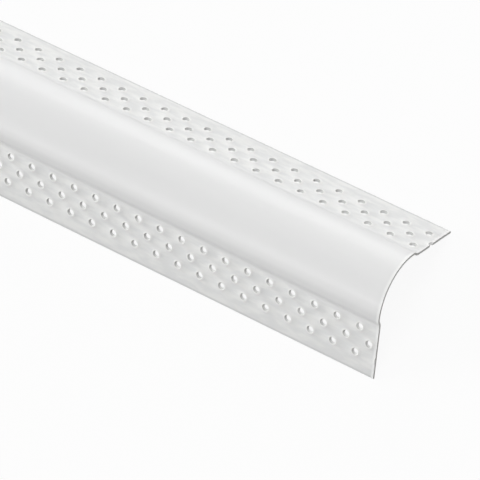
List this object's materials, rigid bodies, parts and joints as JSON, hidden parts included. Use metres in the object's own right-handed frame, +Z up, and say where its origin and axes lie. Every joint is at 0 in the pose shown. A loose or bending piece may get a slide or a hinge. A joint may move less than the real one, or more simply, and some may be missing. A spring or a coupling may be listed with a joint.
{
  "type": "drywall corner bead",
  "caption": "Long bullnose corner bead: a rounded nose between two perforated flanges at a right angle, fixed over an outside wallboard corner and covered with joint compound.",
  "frame": {"origin": "centre of the bounding box's base, on the floor midway between the two free flange edges", "axes": "+X along the stock toward the cut end seen in the picture, +Z up with the nose on top, +Y toward one flange"},
  "size_m": [2.4384, 0.0626, 0.0253],
  "materials": {
    "white_vinyl": "satin, smooth extruded white vinyl"
  },
  "bodies": {
    "root": {"corner_bead": "white_vinyl"}
  },
  "joints": []
}
